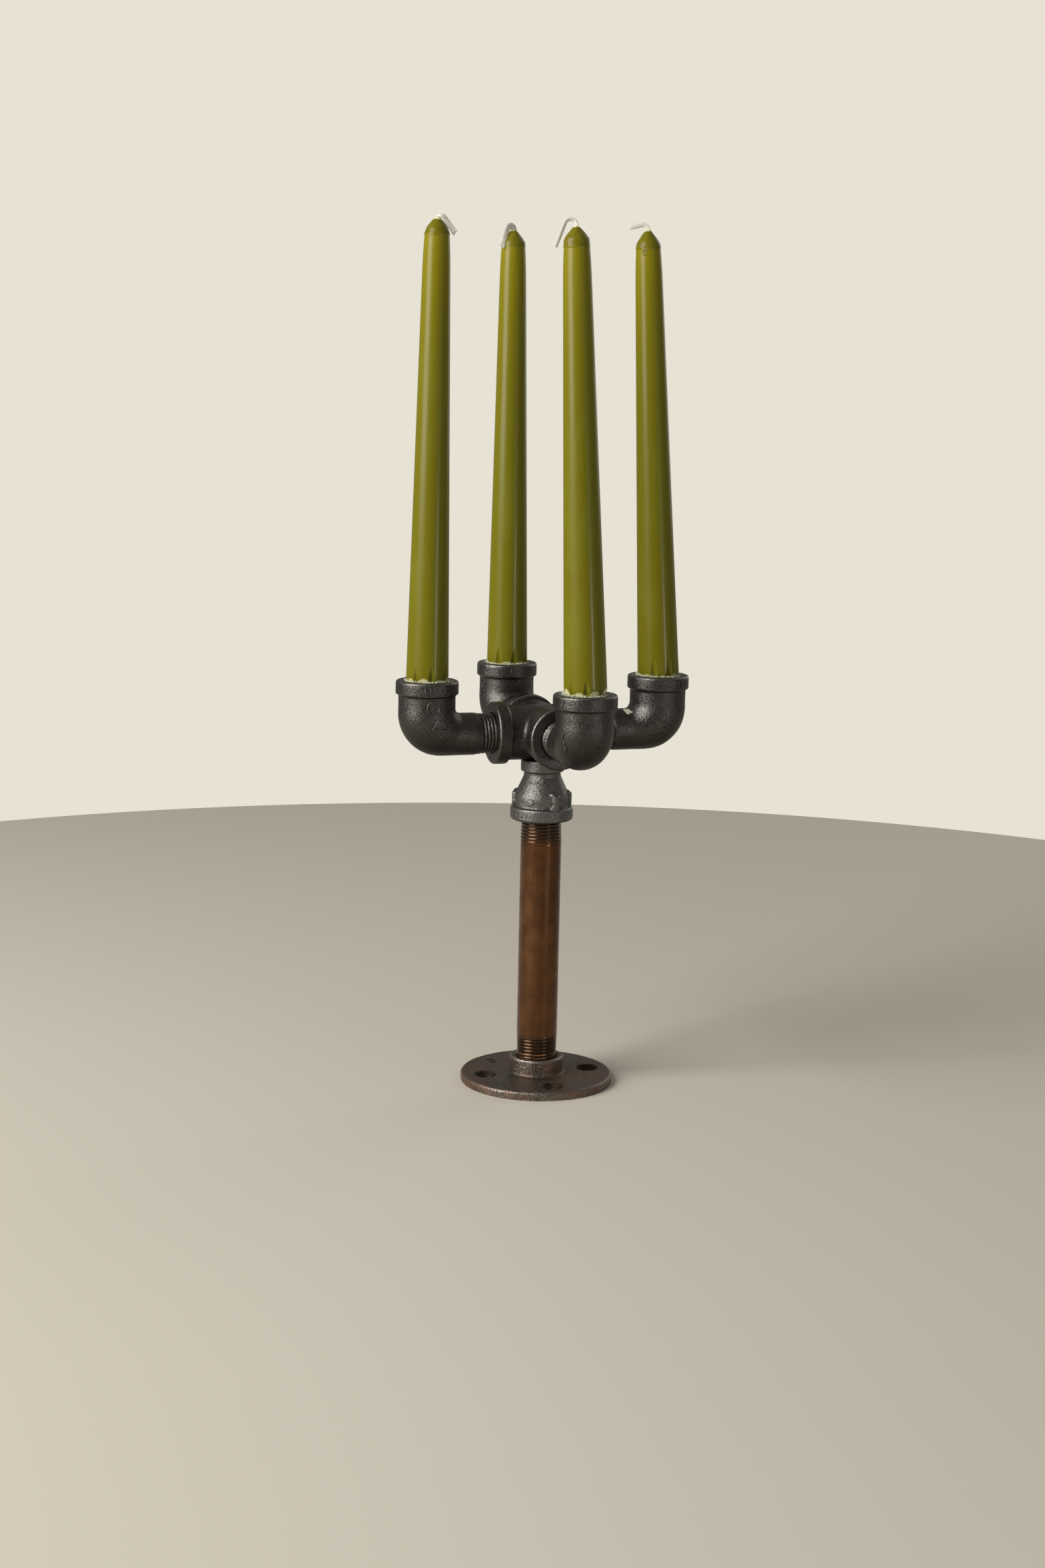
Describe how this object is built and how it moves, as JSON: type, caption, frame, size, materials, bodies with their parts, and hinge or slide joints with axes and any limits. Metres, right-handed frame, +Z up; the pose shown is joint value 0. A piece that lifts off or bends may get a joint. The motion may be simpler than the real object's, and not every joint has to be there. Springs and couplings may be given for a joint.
{
  "type": "pipe fitting candelabra",
  "caption": "Candelabra of threaded iron pipe fittings: a round floor flange, a brass nipple post, a bell reducer and a cross whose street elbows hold tall taper candles.",
  "frame": {"origin": "centre of the floor flange's underside", "axes": "+Z up the post; +X along the right arm and +Y along the back arm"},
  "size_m": [0.1584, 0.1584, 0.449],
  "materials": {
    "flange_iron": "rough black malleable iron with a rusty tint",
    "fitting_iron": "rough oiled black malleable iron",
    "aged_brass": "brown aged brass, satin",
    "olive_wax": "glossy dyed candle wax",
    "pale_wax": "crumbly undyed wax",
    "cotton_wick": "braided waxed cotton"
  },
  "bodies": {
    "base": {"floor_flange": "flange_iron"},
    "head": {"post_nipple": "aged_brass", "bell_reducer": "fitting_iron", "close_nipple": "fitting_iron", "cross_fitting": "fitting_iron"},
    "arm_right": {"street_elbow_right": "fitting_iron", "wax_seat_right": "pale_wax"},
    "candle_right": {"taper_candle_right": "olive_wax", "wick_right": "cotton_wick"},
    "arm_back": {"street_elbow_back": "fitting_iron", "wax_seat_back": "pale_wax"},
    "candle_back": {"taper_candle_back": "olive_wax", "wick_back": "cotton_wick"},
    "arm_left": {"street_elbow_left": "fitting_iron", "wax_seat_left": "pale_wax"},
    "candle_left": {"taper_candle_left": "olive_wax", "wick_left": "cotton_wick"},
    "arm_front": {"street_elbow_front": "fitting_iron", "wax_seat_front": "pale_wax"},
    "candle_front": {"taper_candle_front": "olive_wax", "wick_front": "cotton_wick"}
  },
  "joints": [
    {"name": "post_turn", "type": "hinge", "parent": "base", "child": "head", "pos_m": [0, 0, 0.0138], "axis": [0, 0, 1], "continuous": true},
    {"name": "elbow_turn_right", "type": "hinge", "parent": "head", "child": "arm_right", "pos_m": [0.0284, 0, 0.1873], "axis": [1, 0, 0], "range_deg": [0, 90]},
    {"name": "candle_lift_right", "type": "slide", "parent": "arm_right", "child": "candle_right", "axis": [-0.0496, 0.0166, 0.9986], "range_m": [0, 0.03]},
    {"name": "elbow_turn_back", "type": "hinge", "parent": "head", "child": "arm_back", "pos_m": [0, 0.0284, 0.1873], "axis": [0, 1, 0], "range_deg": [0, 90]},
    {"name": "candle_lift_back", "type": "slide", "parent": "arm_back", "child": "candle_back", "axis": [-0.0033, 0.0011, 1], "range_m": [0, 0.03]},
    {"name": "elbow_turn_left", "type": "hinge", "parent": "head", "child": "arm_left", "pos_m": [-0.0284, 0, 0.1873], "axis": [-1, 0, 0], "range_deg": [0, 90]},
    {"name": "candle_lift_left", "type": "slide", "parent": "arm_left", "child": "candle_left", "axis": [0.0083, -0.0028, 1], "range_m": [0, 0.03]},
    {"name": "elbow_turn_front", "type": "hinge", "parent": "head", "child": "arm_front", "pos_m": [0, -0.0284, 0.1873], "axis": [0, -1, 0], "range_deg": [0, 90]},
    {"name": "candle_lift_front", "type": "slide", "parent": "arm_front", "child": "candle_front", "axis": [-0.0414, 0.0138, 0.999], "range_m": [0, 0.03]}
  ]
}
